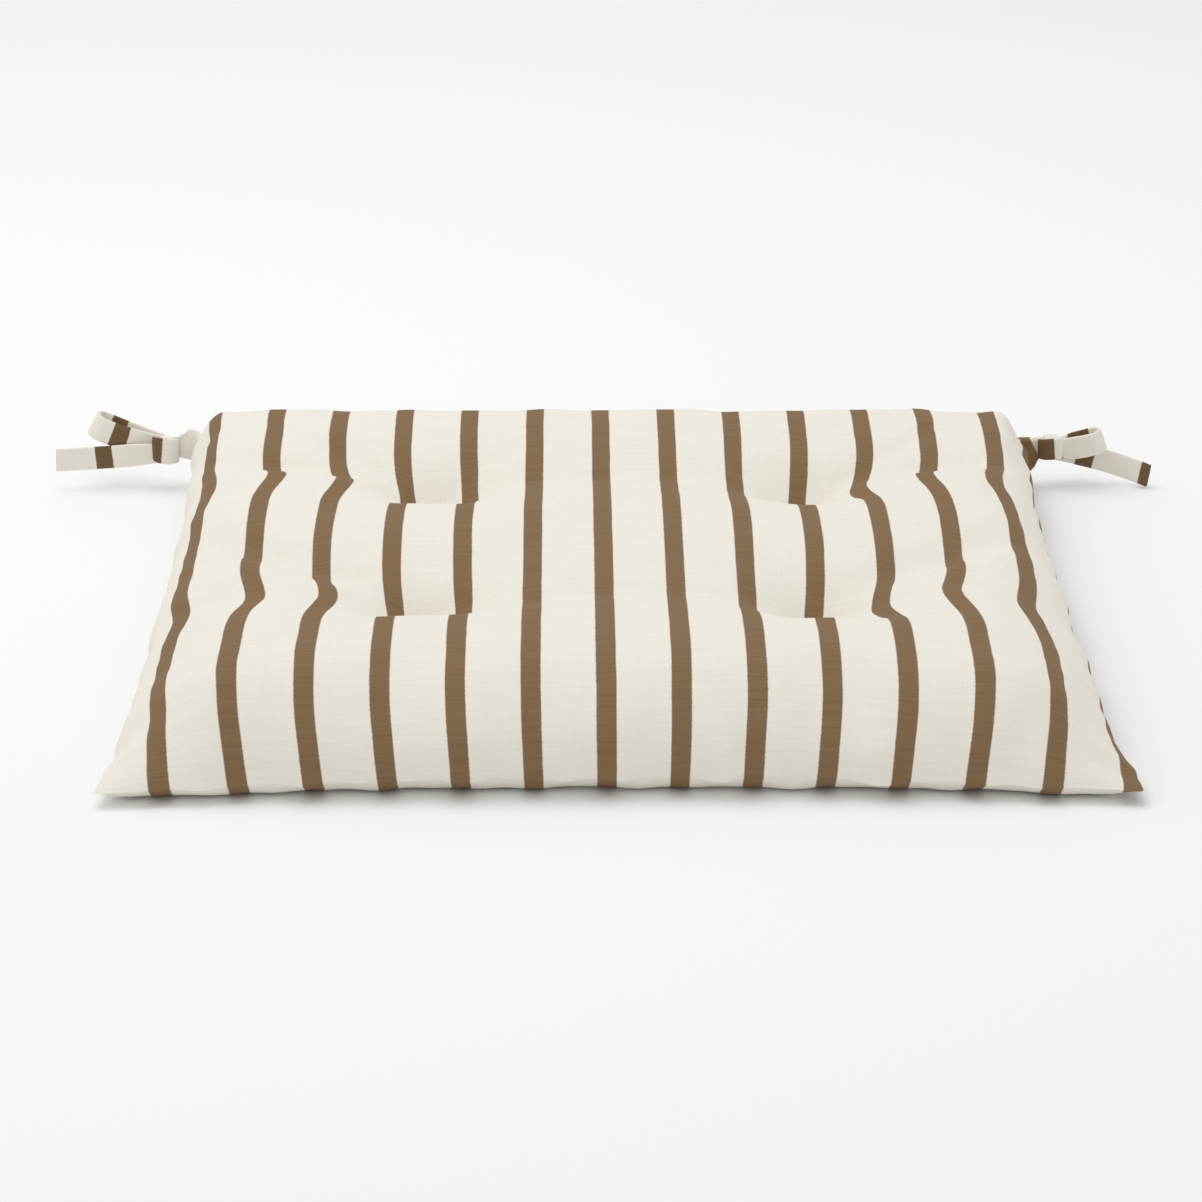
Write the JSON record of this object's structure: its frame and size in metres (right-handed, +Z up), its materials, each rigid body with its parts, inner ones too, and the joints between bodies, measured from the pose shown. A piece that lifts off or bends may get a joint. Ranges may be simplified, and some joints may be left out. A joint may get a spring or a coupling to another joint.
{
  "type": "chair seat pad",
  "caption": "Square, tufted chair seat pad: a striped cloth cover sewn round a soft filling, with a knotted cloth tie at each back corner.",
  "frame": {"origin": "middle of the flat underside, on the surface that the pad lies on", "axes": "+X across the pad towards the right-hand tie, +Y from the front edge to the tied back edge, +Z up out of the seat"},
  "size_m": [0.5598, 0.4414, 0.0521],
  "materials": {
    "striped_cover": "cream linen-cotton weave with brown woven stripes, matt",
    "tie_strap": "the cover's cloth cut across its stripes and folded into a strap, matt",
    "filling": "loose white polyester fibre",
    "thread": "twisted cream sewing thread"
  },
  "bodies": {
    "pad": {"top_panel": "striped_cover", "bottom_panel": "striped_cover", "fibre_filling": "filling", "closing_seam_thread": "thread", "perimeter_seam_thread": "thread", "tuft_thread_front_left": "thread", "tuft_thread_front_right": "thread", "tuft_thread_back_left": "thread", "tuft_thread_back_right": "thread", "left_tie_root": "tie_strap", "right_tie_root": "tie_strap"},
    "left_tie": {"left_tie_knot": "tie_strap", "left_tie_loop": "tie_strap"},
    "left_tail": {"left_tie_tail": "tie_strap"},
    "right_tie": {"right_tie_knot": "tie_strap", "right_tie_loop": "tie_strap"},
    "right_tail": {"right_tie_tail": "tie_strap"}
  },
  "joints": [
    {"name": "left_tie_swing", "type": "hinge", "parent": "pad", "child": "left_tie", "pos_m": [-0.2185, 0.21, 0.02], "axis": [0, -1, 0], "range_deg": [-75, 90]},
    {"name": "left_tail_swing", "type": "hinge", "parent": "left_tie", "child": "left_tail", "pos_m": [-0.2307, 0.2066, 0.0175], "axis": [0, 0, 1], "range_deg": [0, 70]},
    {"name": "right_tie_swing", "type": "hinge", "parent": "pad", "child": "right_tie", "pos_m": [0.2185, 0.21, 0.02], "axis": [0, 1, 0], "range_deg": [-75, 90]},
    {"name": "right_tail_swing", "type": "hinge", "parent": "right_tie", "child": "right_tail", "pos_m": [0.2311, 0.2151, 0.0151], "axis": [0, 0, 1], "range_deg": [0, 70]}
  ]
}
